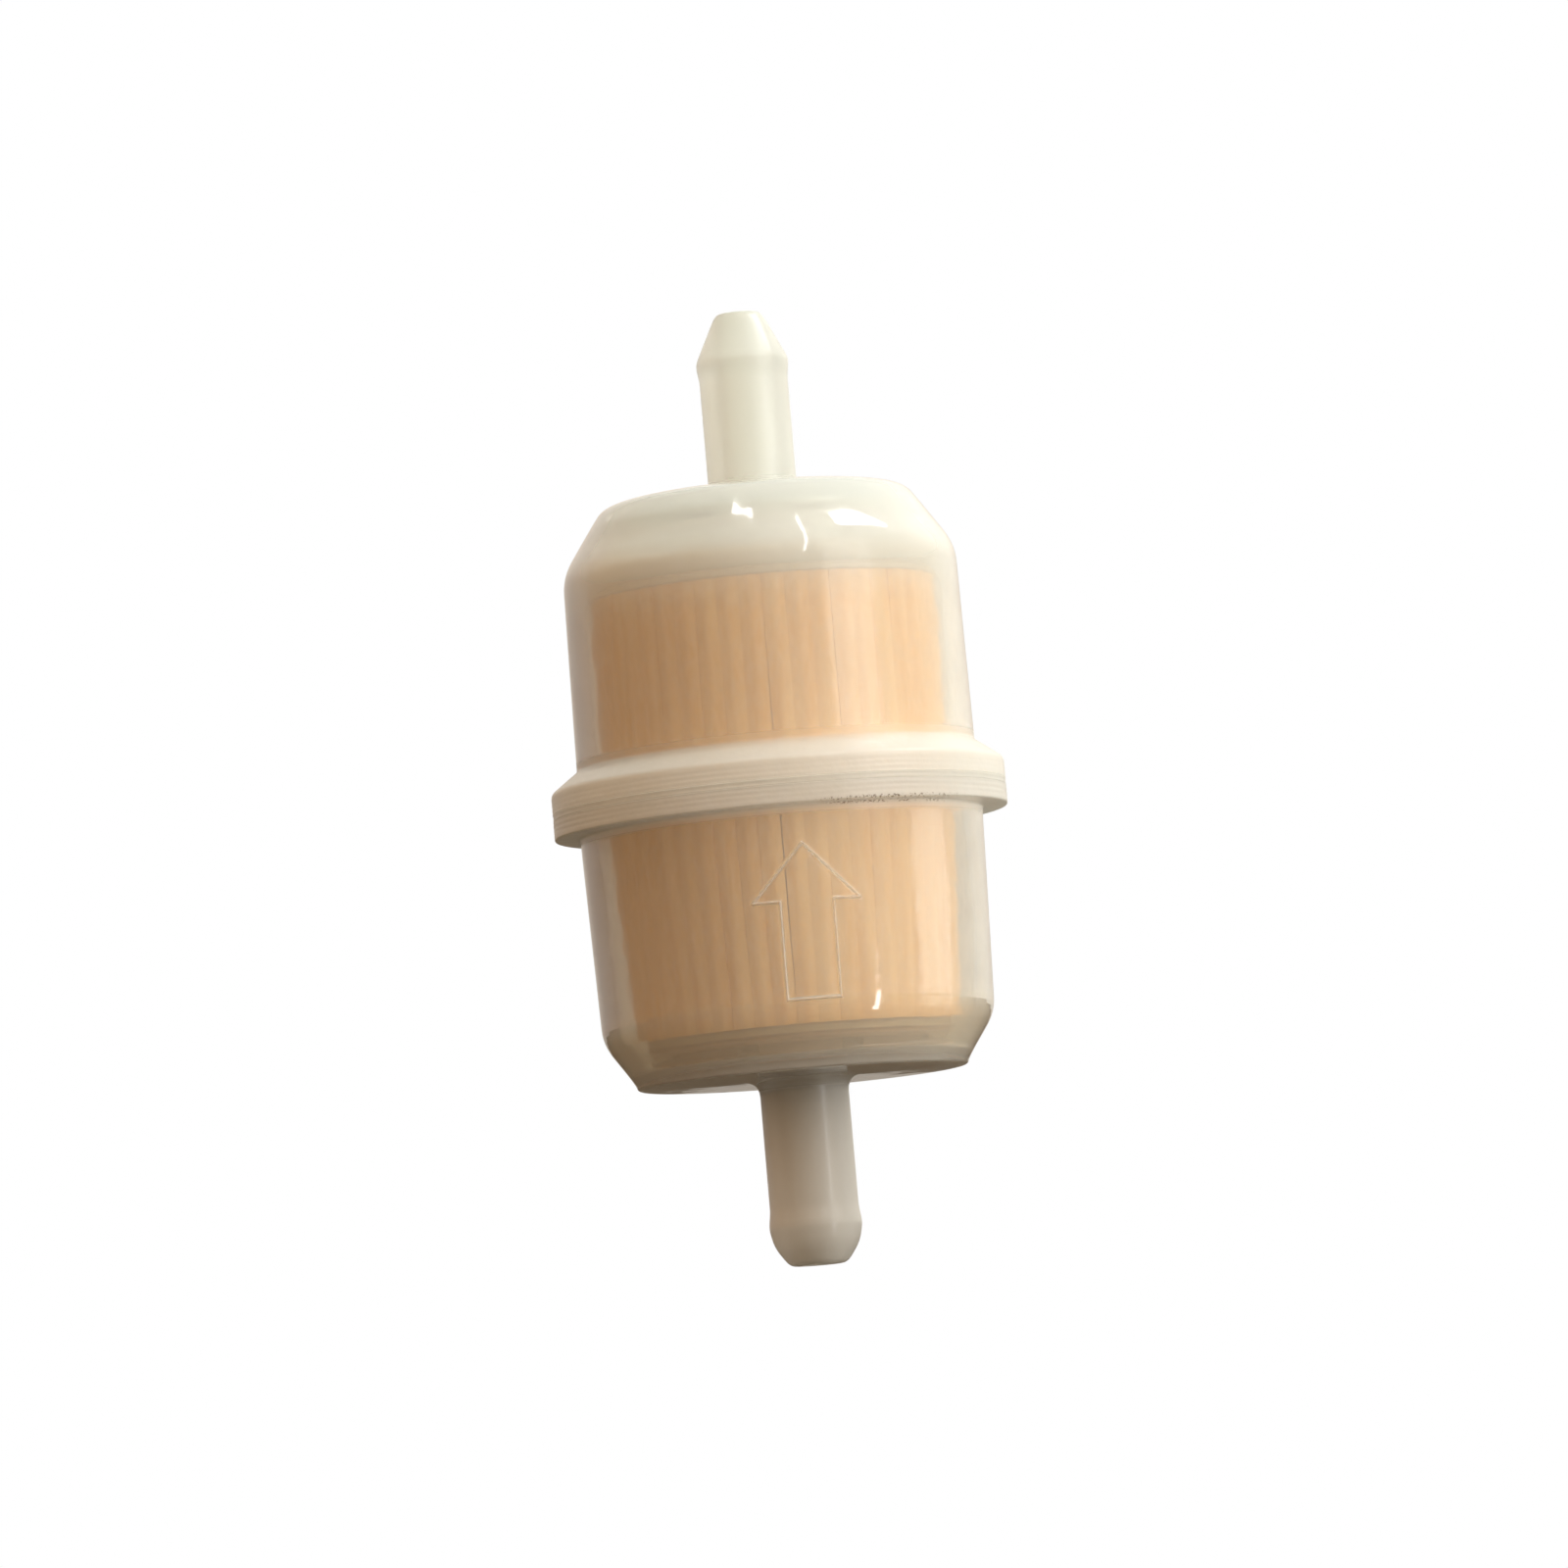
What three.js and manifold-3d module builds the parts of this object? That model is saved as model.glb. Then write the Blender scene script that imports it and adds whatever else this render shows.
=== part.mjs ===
// In-line fuel filter for a small petrol engine: two nylon mouldings welded at a flange round the middle,
// a barbed hose stub on each end, and a capped tube of pleated paper inside.
// Millimetres, +Z up along the flow. The inlet is at the bottom and the outlet at the top.
// Heights in this file are measured from the weld plane; the last group moves the origin to mid-length.

import * as THREE from 'three';
import { mergeVertices } from 'three/addons/utils/BufferGeometryUtils.js';
import Module from 'manifold-3d';

const wasm = await Module();
wasm.setup();

// Revolved pieces
const SEGMENTS = 48; // flats round a revolved piece
const CURVE_STEPS = 3; // points along each rounded corner of a profile
const POINT_TOLERANCE = 1e-4; // points closer than this are one point

// Flange and walls, the same on both halves
const RIM_RADIUS = 18.2;
const WALL = 1.4;
const END_WALL = 1.5;
const KINK_INSET = { radius: 1.15, height: 0.8 }; // from the kink outside to the one inside
const DRUM_END_RISE = 0.3; // the taper inside starts this much nearer the flange

// The half that holds the outlet, heights up from the weld plane.
// Past the drum the wall tapers in to a kink, then a little more steeply to the crown, and rounds over.
const OUTLET = {
  rimTop: 1.9,
  shoulderTop: 3.55, // the flange slopes in to the drum on this side
  drumRadius: 16.0,
  drumEnd: { radius: 15.82, height: 19.3 },
  kink: { radius: 14.1, height: 21.85 },
  crown: { radius: 13.1, height: 23.3 },
  crownCorner: { radius: 12.3, height: 24.4 },
  flatRadius: 10.3,
  end: 24.8,
  tip: 39.5,
  stemFillet: 0.8,
  nose: { length: 3.8, belly: { radius: 2.95, drop: 2.3 }, shoulder: { radius: 2.2, drop: 0.8 } },
  socket: { inner: 5.4, outer: 6.8, mouth: 20.3 }, // the element's neck seals in this socket
};

// The half that holds the inlet, heights down from the weld plane
const INLET = {
  rimTop: 1.8,
  shoulderTop: 1.8, // the flange is a square step on this side
  drumRadius: 16.17,
  drumEnd: { radius: 15.72, height: 18.3 },
  kink: { radius: 13.8, height: 21.1 },
  crown: { radius: 13.35, height: 21.85 },
  crownCorner: { radius: 13.2, height: 22.3 },
  flatRadius: 12.6,
  end: 22.3,
  tip: 37.25,
  stemFillet: 1.3,
  nose: { length: 2.9, belly: { radius: 3.45, drop: 1.4 }, shoulder: { radius: 2.35, drop: 0.25 } },
};

// Hose stubs, for a hose of 6 to 6.35 mm bore
const BORE_RADIUS = 1.5;
const STEM_RADIUS = 3.55;
const BARB_RADIUS = 3.7;
const BARB_LAND = 0.5;
const BARB_BACK = 1.1; // the slope from the barb's land back to the stem
const TIP_RADIUS = 1.7;
const TIP_ROUND = 0.25;

// Weld bead between the halves
const WELD_HALF = 0.25;
const WELD_OUTER = 17.95;
const WELD_CROWN = 18.1;
const WELD_INNER = 14.9;

// Flow arrow: a thin raised outline on the front of the inlet half, pointing at the flange
const ARROW = { tip: 4.8, base: 17.0, headLength: 4.5, headHalf: 4.25, shaftHalf: 2.1, turn: 5.2 };
const ARROW_LINE = 0.38; // width of the raised line
const ARROW_PROUD = 0.22;
const ARROW_ROOT = 0.5; // how deep the line's root is let into the wall

// Pleated paper
const PLEATS = 48;
const PAPER = { bottom: -18.6, top: 16.8 };
const PAPER_FOOT_SCALE = 0.935; // the pleats draw in towards the smaller inlet cap
const OUTER_FOLD = { radius: 13.9, half: 0.32, crease: 13.3, creaseHalf: 0.08 };
const INNER_FOLD = { radius: 6.7, half: 0.28, crease: 7.4, creaseHalf: 0.08 };
const SEAM = { inner: 12.6, outer: 13.7, half: 0.3 };

// Caps, adhesive, core and seal
const CAP_SEAT = 0.8; // the adhesive's inner edge stands this far clear of the core
const OUTLET_CAP = { bottom: 17.6, top: 19.1, radius: 14.0, edge: 0.4 };
const NECK = { inner: 3.0, outer: 3.9, top: 22.8 };
const INLET_CAP = { bottom: -19.7, top: -19.1, radius: 12.2, edge: 0.25 };
const CORE = { inner: 4.7, outer: 5.5, segments: 24 };
const CORE_HOLES = { radius: 1.3, sides: 8, columns: 6, rows: 5, rowStep: 6.4 };
const SEAL = { clearance: 0.05, height: 21.5, quarterSteps: 2 };

// The inlet cap's foot stands on the end wall, in lugs with gaps between them for the fuel to pass
const FOOT = { inner: 9.0, outer: 10.6, gaps: 8, gapWidth: 1.8, root: 0.3 };

// ---------------------------------------------------------------- solids

/** A geometry with only shared positions, its faces pointing out. */
function closed(geometry) {
  geometry.deleteAttribute('normal');
  geometry.deleteAttribute('uv');
  const merged = mergeVertices(geometry, POINT_TOLERANCE);
  const place = merged.getAttribute('position');
  const index = Array.from(merged.getIndex().array);
  const corners = [new THREE.Vector3(), new THREE.Vector3(), new THREE.Vector3()];
  const kept = [];
  let volume = 0;
  for (let i = 0; i < index.length; i += 3) {
    const [a, b, c] = index.slice(i, i + 3);
    if (a === b || b === c || c === a) {
      continue;
    }
    corners.forEach((corner, n) => corner.fromBufferAttribute(place, [a, b, c][n]));
    volume += corners[0].dot(corners[1].clone().cross(corners[2]));
    kept.push(a, b, c);
  }
  merged.setIndex(volume < 0 ? kept.reverse() : kept);
  return merged;
}

/** The solid swept by a closed outline of (radius, height) turned about Z. */
function revolved(outline, segments = SEGMENTS) {
  const points = outline.filter((p, n) => n === 0 || p.distanceTo(outline[n - 1]) > POINT_TOLERANCE);
  if (points[0].distanceTo(points.at(-1)) > POINT_TOLERANCE) {
    points.push(points[0].clone());
  }
  const geometry = new THREE.LatheGeometry(points, segments);
  geometry.rotateX(Math.PI / 2);
  return closed(geometry);
}

/** A flat-faced ring, with the given chamfer on its outer edges. */
function ring(inner, outer, bottom, top, edge = 0, segments = SEGMENTS) {
  const path = new THREE.Path();
  path.moveTo(inner, bottom);
  path.lineTo(outer - edge, bottom);
  path.lineTo(outer, bottom + edge);
  path.lineTo(outer, top - edge);
  path.lineTo(outer - edge, top);
  path.lineTo(inner, top);
  return revolved(path.getPoints(), segments);
}

function toManifold(geometry) {
  const mesh = new wasm.Mesh({
    numProp: 3,
    vertProperties: Float32Array.from(geometry.getAttribute('position').array),
    triVerts: Uint32Array.from(geometry.getIndex().array),
  });
  return new wasm.Manifold(mesh);
}

function fromManifold(solid) {
  const mesh = solid.getMesh();
  const geometry = new THREE.BufferGeometry();
  geometry.setAttribute('position', new THREE.BufferAttribute(Float32Array.from(mesh.vertProperties), 3));
  geometry.setIndex(Array.from(mesh.triVerts));
  return geometry;
}

function polar(radius, angle) {
  return new THREE.Vector2(radius * Math.cos(angle), radius * Math.sin(angle));
}

// ---------------------------------------------------------------- housings

/** A half's hose stub, from the end face up its outside to the tip, and back down its bore to the given height. */
function addStub(path, { end, tip, stemFillet, nose }, boreFoot) {
  const { belly, shoulder } = nose;
  const barb = tip - nose.length;
  path.lineTo(STEM_RADIUS + stemFillet, end);
  path.quadraticCurveTo(STEM_RADIUS, end, STEM_RADIUS, end + stemFillet);
  path.lineTo(STEM_RADIUS, barb - BARB_LAND - BARB_BACK);
  path.lineTo(BARB_RADIUS, barb - BARB_LAND);
  path.lineTo(BARB_RADIUS, barb);
  path.quadraticCurveTo(belly.radius, tip - belly.drop, shoulder.radius, tip - shoulder.drop);
  path.quadraticCurveTo(TIP_RADIUS + TIP_ROUND, tip, TIP_RADIUS, tip);
  path.lineTo(BORE_RADIUS, tip);
  path.lineTo(BORE_RADIUS, boreFoot);
}

/** Outline of one half, as (radius, distance from the weld plane). */
function housingOutline(half) {
  const { drumEnd, kink, crown, crownCorner, socket } = half;
  const inside = half.end - END_WALL;
  const kinkInside = kink.radius - KINK_INSET.radius;
  const path = new THREE.Path();
  path.moveTo(RIM_RADIUS, WELD_HALF);
  path.lineTo(RIM_RADIUS, half.rimTop);
  path.lineTo(half.drumRadius, half.shoulderTop);
  path.lineTo(drumEnd.radius, drumEnd.height);
  path.lineTo(kink.radius, kink.height);
  path.lineTo(crown.radius, crown.height);
  path.quadraticCurveTo(crownCorner.radius, crownCorner.height, half.flatRadius, half.end);
  addStub(path, half, inside);
  if (socket) {
    path.lineTo(socket.inner, inside);
    path.lineTo(socket.inner, socket.mouth);
    path.lineTo(socket.outer, socket.mouth);
    path.lineTo(socket.outer, inside);
  }
  path.lineTo(half.flatRadius - END_WALL, inside);
  path.quadraticCurveTo(kinkInside, inside, kinkInside, kink.height - KINK_INSET.height);
  path.lineTo(drumEnd.radius - WALL, drumEnd.height - DRUM_END_RISE);
  path.lineTo(half.drumRadius - WALL, WELD_HALF);
  return path.getPoints(CURVE_STEPS);
}

/** The same outline turned upside down, for the half below the weld plane. */
function mirrored(outline) {
  return outline.map((p) => new THREE.Vector2(p.x, -p.y));
}

function outletHousing() {
  return revolved(housingOutline(OUTLET));
}

/** The arrow's edge, drawn in (x, height) and grown outwards by the given amount. */
function arrowEdge(grow) {
  const { tip, base, headLength, headHalf, shaftHalf } = ARROW;
  const shoulder = -tip - headLength;
  const rise = (grow * Math.hypot(headHalf, headLength)) / headHalf;
  const wing = (headHalf / headLength) * (rise + grow);
  const left = [
    [-headHalf - wing, shoulder - grow],
    [-shaftHalf - grow, shoulder - grow],
    [-shaftHalf - grow, -base - grow],
  ];
  const right = left.map(([x, z]) => [-x, z]).reverse();
  return [[0, -tip + rise], ...left, ...right].map(([x, z]) => new THREE.Vector2(x, z));
}

/** The raised arrow line: an outline band, kept only where it lies in a skin round the inlet drum. */
function arrowLine() {
  const band = new THREE.Shape(arrowEdge(ARROW_LINE / 2));
  band.holes.push(new THREE.Path(arrowEdge(-ARROW_LINE / 2)));
  const depth = RIM_RADIUS;
  const prism = new THREE.ExtrudeGeometry(band, { depth, bevelEnabled: false });
  prism.rotateX(Math.PI / 2);
  prism.rotateZ((ARROW.turn * Math.PI) / 180);
  const skin = new THREE.Path();
  skin.moveTo(INLET.drumRadius + ARROW_PROUD, -INLET.rimTop);
  skin.lineTo(INLET.drumEnd.radius + ARROW_PROUD, -INLET.drumEnd.height);
  skin.lineTo(INLET.drumEnd.radius - ARROW_ROOT, -INLET.drumEnd.height);
  skin.lineTo(INLET.drumRadius - ARROW_ROOT, -INLET.rimTop);
  return toManifold(closed(prism)).intersect(toManifold(revolved(skin.getPoints())));
}

function inletHousing() {
  const body = toManifold(revolved(mirrored(housingOutline(INLET))));
  return closed(fromManifold(body.add(arrowLine())));
}

/** The bead squeezed out of the weld: flat where it meets the halves, crowned outside. */
function weldBead() {
  const path = new THREE.Path();
  path.moveTo(WELD_INNER, -WELD_HALF);
  path.lineTo(WELD_OUTER, -WELD_HALF);
  path.quadraticCurveTo(2 * WELD_CROWN - WELD_OUTER, 0, WELD_OUTER, WELD_HALF);
  path.lineTo(WELD_INNER, WELD_HALF);
  return revolved(path.getPoints(CURVE_STEPS));
}

// ---------------------------------------------------------------- filter element

/** One side of the folded paper: four points a pleat, two at the outer fold and two at the inner. */
function pleatLoop(outerRadius, outerHalf, innerRadius, innerHalf) {
  const pitch = (2 * Math.PI) / PLEATS;
  return Array.from({ length: PLEATS }, (_, n) => {
    const fold = (n + 0.5) * pitch;
    const valley = (n + 1) * pitch;
    return [
      polar(outerRadius, fold - outerHalf / outerRadius),
      polar(outerRadius, fold + outerHalf / outerRadius),
      polar(innerRadius, valley - innerHalf / innerRadius),
      polar(innerRadius, valley + innerHalf / innerRadius),
    ];
  }).flat();
}

/** A shape drawn in plan and extruded over the paper's height, drawn in at its foot as the pleats are. */
function paperHigh(shape) {
  const depth = PAPER.top - PAPER.bottom;
  const geometry = new THREE.ExtrudeGeometry(shape, { depth, steps: 2, bevelEnabled: false });
  const place = geometry.getAttribute('position');
  for (let n = 0; n < place.count; n += 1) {
    const atFoot = place.getZ(n) < POINT_TOLERANCE;
    const scale = atFoot ? PAPER_FOOT_SCALE : 1;
    place.setXY(n, place.getX(n) * scale, place.getY(n) * scale);
  }
  geometry.translate(0, 0, PAPER.bottom);
  return closed(geometry);
}

function pleatedPaper() {
  const { radius, half, crease, creaseHalf } = OUTER_FOLD;
  const plan = new THREE.Shape(pleatLoop(radius, half, INNER_FOLD.crease, INNER_FOLD.creaseHalf));
  plan.holes.push(new THREE.Path(pleatLoop(crease, creaseHalf, INNER_FOLD.radius, INNER_FOLD.half)));
  return paperHigh(plan);
}

/** The glue bead between two pleats at the back, where the strip's ends meet. */
function paperSeam() {
  const plan = new THREE.Shape();
  plan.moveTo(-SEAM.half, SEAM.inner);
  plan.lineTo(SEAM.half, SEAM.inner);
  plan.lineTo(SEAM.half, SEAM.outer);
  plan.lineTo(-SEAM.half, SEAM.outer);
  return paperHigh(plan);
}

function outletAdhesive() {
  return ring(CORE.outer + CAP_SEAT, OUTER_FOLD.radius, PAPER.top, OUTLET_CAP.bottom);
}

function inletAdhesive() {
  return ring(CORE.outer + CAP_SEAT, INLET_CAP.radius, INLET_CAP.top, PAPER.bottom);
}

/** The open cap: a plate with a neck that reaches into the outlet housing's socket. */
function outletEndCap() {
  const { bottom, top, radius, edge } = OUTLET_CAP;
  const path = new THREE.Path();
  path.moveTo(NECK.inner, bottom);
  path.lineTo(radius, bottom);
  path.lineTo(radius, top - edge);
  path.lineTo(radius - edge, top);
  path.lineTo(NECK.outer, top);
  path.lineTo(NECK.outer, NECK.top);
  path.lineTo(NECK.inner, NECK.top);
  return revolved(path.getPoints());
}

/** The closed cap: a disc on a foot that the gaps cut into lugs. */
function inletEndCap() {
  const { bottom, top, radius, edge } = INLET_CAP;
  const floor = END_WALL - INLET.end;
  let foot = toManifold(ring(FOOT.inner, FOOT.outer, floor, bottom + FOOT.root));
  for (let n = 0; n < FOOT.gaps / 2; n += 1) {
    const cutter = new THREE.BoxGeometry(3 * FOOT.outer, FOOT.gapWidth, 2 * (bottom - floor));
    cutter.translate(0, 0, floor);
    cutter.rotateZ(((n + 0.5) * 2 * Math.PI) / FOOT.gaps);
    foot = foot.subtract(toManifold(closed(cutter)));
  }
  return closed(fromManifold(foot.add(toManifold(ring(0, radius, bottom, top, edge)))));
}

/** The perforated core, from cap to cap. */
function centreTube() {
  const middle = (OUTLET_CAP.bottom + INLET_CAP.top) / 2;
  let tube = toManifold(
    ring(CORE.inner, CORE.outer, INLET_CAP.top, OUTLET_CAP.bottom, 0, CORE.segments),
  );
  const { radius, sides, columns, rows, rowStep } = CORE_HOLES;
  for (let row = 0; row < rows; row += 1) {
    for (let column = 0; column < columns / 2; column += 1) {
      const drill = new THREE.CylinderGeometry(radius, radius, 3 * CORE.outer, sides);
      const halfColumn = (row % 2) / 2;
      drill.rotateZ(((column + halfColumn) * 2 * Math.PI) / columns);
      drill.rotateX(Math.PI / 2);
      drill.translate(0, 0, middle + (row - (rows - 1) / 2) * rowStep);
      tube = tube.subtract(toManifold(closed(drill)));
    }
  }
  return closed(fromManifold(tube));
}

/** The O-ring between the neck and the socket. */
function sealRing() {
  const middle = (NECK.outer + OUTLET.socket.inner) / 2;
  const radius = (OUTLET.socket.inner - NECK.outer) / 2 - SEAL.clearance;
  const outline = new THREE.Path().absarc(middle, SEAL.height, radius, 0, 2 * Math.PI);
  return revolved(outline.getPoints(2 * SEAL.quarterSteps), CORE.segments);
}

// ---------------------------------------------------------------- assembly

const MATERIALS = {
  nylon: { color: 0xe6dfcd, roughness: 0.22 },
  weld: { color: 0xeae4d4, roughness: 0.35 },
  paper: { color: 0xd9a878, roughness: 0.9 },
  cap: { color: 0xc9c4ae, roughness: 0.5 },
  brownCap: { color: 0x9c7a55, roughness: 0.5 },
  adhesive: { color: 0xc4ae86, roughness: 0.4 },
  core: { color: 0xd8d4c6, roughness: 0.5 },
  rubber: { color: 0x1c1c1c, roughness: 0.7 },
};

const PIECES = [
  ['outlet_housing', outletHousing, 'nylon'],
  ['inlet_housing', inletHousing, 'nylon'],
  ['weld_bead', weldBead, 'weld'],
  ['pleated_paper', pleatedPaper, 'paper'],
  ['paper_seam', paperSeam, 'adhesive'],
  ['outlet_end_cap', outletEndCap, 'cap'],
  ['inlet_end_cap', inletEndCap, 'brownCap'],
  ['outlet_adhesive', outletAdhesive, 'adhesive'],
  ['inlet_adhesive', inletAdhesive, 'adhesive'],
  ['centre_tube', centreTube, 'core'],
  ['seal_ring', sealRing, 'rubber'],
];

const filter = new THREE.Group();
filter.position.z = -(OUTLET.tip - INLET.tip) / 2;
for (const [name, make, material] of PIECES) {
  const finish = new THREE.MeshStandardMaterial({ ...MATERIALS[material], metalness: 0 });
  const mesh = new THREE.Mesh(make(), finish);
  mesh.name = name;
  filter.add(mesh);
}

export default filter;
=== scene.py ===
"""In-line fuel filter: the looks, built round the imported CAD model.

Sizes are in millimetres measured from the weld plane, as on a drawing, and at() turns them into the frame's
metres. The nylon mouldings, the paper and the small parts inside are turned or folded here with fine rounded
edges, and each stands for the CAD node of the same name. The centre tube and the inlet end cap keep their
CAD meshes and get only a material.
"""

import math

import bmesh
import bpy
from mathutils import Matrix, Quaternion, Vector, noise


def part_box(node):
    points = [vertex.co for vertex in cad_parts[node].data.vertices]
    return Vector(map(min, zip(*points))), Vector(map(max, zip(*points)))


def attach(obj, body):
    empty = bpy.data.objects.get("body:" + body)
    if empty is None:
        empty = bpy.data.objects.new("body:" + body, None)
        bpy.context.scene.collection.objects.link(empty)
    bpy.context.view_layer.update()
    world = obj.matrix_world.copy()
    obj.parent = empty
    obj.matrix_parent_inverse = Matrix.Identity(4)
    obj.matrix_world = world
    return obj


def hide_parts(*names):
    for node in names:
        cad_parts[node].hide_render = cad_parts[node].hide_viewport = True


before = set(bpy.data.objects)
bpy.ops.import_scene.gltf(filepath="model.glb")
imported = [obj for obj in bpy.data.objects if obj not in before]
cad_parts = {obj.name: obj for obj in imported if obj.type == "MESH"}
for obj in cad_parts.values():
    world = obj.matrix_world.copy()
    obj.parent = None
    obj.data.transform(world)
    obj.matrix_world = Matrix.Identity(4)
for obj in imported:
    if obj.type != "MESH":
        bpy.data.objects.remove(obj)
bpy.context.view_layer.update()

MM = 0.001
BODY = "root"

# ------------------------------------------------------------------ driving sizes, from the frame

weld_low, weld_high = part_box("weld_bead")
WELD_PLANE = (weld_low.z + weld_high.z) / 2


def span(node):
    """A node's lowest and highest point in millimetres from the weld plane, and its reach from the axis."""
    low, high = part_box(node)
    return (low.z - WELD_PLANE) / MM, (high.z - WELD_PLANE) / MM, high.x / MM


WELD_HALF = span("weld_bead")[1]
_, OUTLET_TIP, RIM = span("outlet_housing")
INLET_TIP = -span("inlet_housing")[0]
PAPER_FOOT, PAPER_TOP, PAPER_RADIUS = span("pleated_paper")
CAP_FOOT, NECK_TOP, CAP_RADIUS = span("outlet_end_cap")
_, DISC_TOP, DISC_RADIUS = span("inlet_end_cap")
SEAL_FOOT, SEAL_TOP, SEAL_OUTER = span("seal_ring")

# ------------------------------------------------------------------ the rest, as in the CAD model

END_WALL = 1.5
BORE = 1.5
STEM = 3.55
BARB = 3.7
BARB_LAND = 0.5
BARB_BACK = 1.1
TIP_RADIUS = 1.7
OUTLET_END = 24.8
INLET_END = 22.3
INLET_DRUM_TOP = 1.8  # down from the weld plane, and the drum's radius there
INLET_DRUM_TOP_RADIUS = 16.17
INLET_DRUM_END = 18.3
INLET_DRUM_END_RADIUS = 15.72
SOCKET_INNER, SOCKET_OUTER, SOCKET_FOOT = 5.4, 6.8, 20.3  # for the outlet cap's neck
CAP_TOP, NECK_INNER, NECK_OUTER = 19.1, 3.0, 3.9
GLUE_INNER = 6.3
RIM_HALF = 1.85  # of the flange, either side of the weld plane
RIM_EDGE = RIM - 0.01  # everything past this radius is the flange's edge
WELD_GAP = 0.01  # between the bead and the halves, so that no two faces lie on each other

COLUMNS = 192  # round a turned moulding
SMALL_COLUMNS = 96  # round a small piece inside
SEAL_SIDES = 24  # round the seal ring's section
FILLET_STEPS = 6


def at(x, y, z):
    """A point given in millimetres from the weld plane's centre, in the frame's metres."""
    return Vector((x * MM, y * MM, z * MM + WELD_PLANE))


# ------------------------------------------------------------------ mesh helpers

def evenly(count):
    """Angles evenly spread round a full turn."""
    return [2 * math.pi * n / count for n in range(count)]


def rounded(corners):
    """A closed outline through (radius, height, fillet) corners, each rounded off over its fillet length."""
    outline = []
    count = len(corners)
    for n, (r, z, fillet) in enumerate(corners):
        here = Vector((r, z))
        if fillet <= 0:
            outline.append(here)
            continue
        before = Vector(corners[n - 1][:2]) - here
        after = Vector(corners[(n + 1) % count][:2]) - here
        start = here + before.normalized() * min(fillet, before.length * 0.49)
        end = here + after.normalized() * min(fillet, after.length * 0.49)
        for step in range(FILLET_STEPS + 1):
            t = step / FILLET_STEPS
            outline.append(start * (1 - t) ** 2 + here * 2 * t * (1 - t) + end * t ** 2)
    return outline


def finely(outline, spacing, past):
    """The outline with points at most spacing apart wherever it lies past a radius."""
    fine = []
    for n, p in enumerate(outline):
        q = outline[(n + 1) % len(outline)]
        cuts = math.ceil((q - p).length / spacing) if min(p.x, q.x) > past else 1
        fine += [p.lerp(q, k / cuts) for k in range(cuts)]
    return fine


def turned(outline, push=None, angles=None):
    """Vertices and faces of a closed outline turned about the axis. push gives each point's way outwards."""
    angles = angles or evenly(COLUMNS)
    vertices = []
    for angle in angles:
        for p in outline:
            r = p.x + (push(angle, p.y, p.x) if push else 0)
            vertices.append((r * math.cos(angle), r * math.sin(angle), p.y))
    rows, columns = len(outline), len(angles)
    faces = [
        (a * rows + k, (a + 1) % columns * rows + k, (a + 1) % columns * rows + m, a * rows + m)
        for a in range(columns) for k, m in ((k, (k + 1) % rows) for k in range(rows))
    ]
    return vertices, faces


def mesh_object(name, vertices, faces, material, smooth_angle):
    """A mesh with its faces out, shaded smooth but for edges sharper than an angle in degrees."""
    mesh = bpy.data.meshes.new(name)
    mesh.from_pydata([tuple(at(*v)) for v in vertices], [], faces)
    tidy = bmesh.new()
    tidy.from_mesh(mesh)
    bmesh.ops.remove_doubles(tidy, verts=tidy.verts, dist=1e-7)
    bmesh.ops.recalc_face_normals(tidy, faces=tidy.faces)
    tidy.to_mesh(mesh)
    tidy.free()
    mesh.polygons.foreach_set("use_smooth", [True] * len(mesh.polygons))
    mesh.set_sharp_from_angle(angle=math.radians(smooth_angle))
    mesh.materials.append(material)
    thing = bpy.data.objects.new(name + "_fine", mesh)
    bpy.context.collection.objects.link(thing)
    return thing


def piece(name, vertices, faces, material, smooth_angle=35):
    """A mesh object that rides on the filter and stands for the CAD node of its name."""
    thing = mesh_object(name, vertices, faces, material, smooth_angle)
    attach(thing, BODY)
    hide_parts(name)
    return thing


# ------------------------------------------------------------------ material helpers

def add(tree, kind, inputs=None, **settings):
    """A node with its settings, and its inputs either set or linked by name or number."""
    made = tree.nodes.new(kind)
    for key, value in settings.items():
        setattr(made, key, value)
    for key, value in (inputs or {}).items():
        if isinstance(value, bpy.types.NodeSocket):
            tree.links.new(value, made.inputs[key])
        else:
            made.inputs[key].default_value = value
    return made


def maths(tree, operation, a, b=0.0):
    return add(tree, "ShaderNodeMath", {0: a, 1: b}, operation=operation).outputs[0]


def product(tree, a, b):
    return maths(tree, "MULTIPLY", a, b)


def blended(tree, factor, a, b):
    """Colours a and b mixed by factor."""
    return add(tree, "ShaderNodeMix", {0: factor, 6: a, 7: b}, data_type="RGBA").outputs[2]


def ramp(tree, value, low, high, out_low=0.0, out_high=1.0):
    """The value eased from out_low to out_high as it goes from low to high."""
    inputs = {"Value": value, "From Min": low, "From Max": high, "To Min": out_low, "To Max": out_high}
    return add(tree, "ShaderNodeMapRange", inputs, interpolation_type="SMOOTHSTEP").outputs[0]


def ramp_straight(tree, value, low, high, out_low, out_high):
    """The same without easing."""
    inputs = {"Value": value, "From Min": low, "From Max": high, "To Min": out_low, "To Max": out_high}
    return add(tree, "ShaderNodeMapRange", inputs).outputs[0]


def between(tree, value, low, high, edge):
    """1 where the value lies between low and high, easing to 0 over the edge."""
    rise = ramp(tree, value, low - edge, low + edge)
    return product(tree, rise, ramp(tree, value, high - edge, high + edge, 1.0, 0.0))


def spots(tree, where, scale, detail=2.0, rough=0.5):
    """Cloudy noise from 0 to 1, with scale in cycles to the metre."""
    inputs = {"Vector": where, "Scale": scale, "Detail": detail, "Roughness": rough}
    return add(tree, "ShaderNodeTexNoise", inputs).outputs["Fac"]


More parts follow.
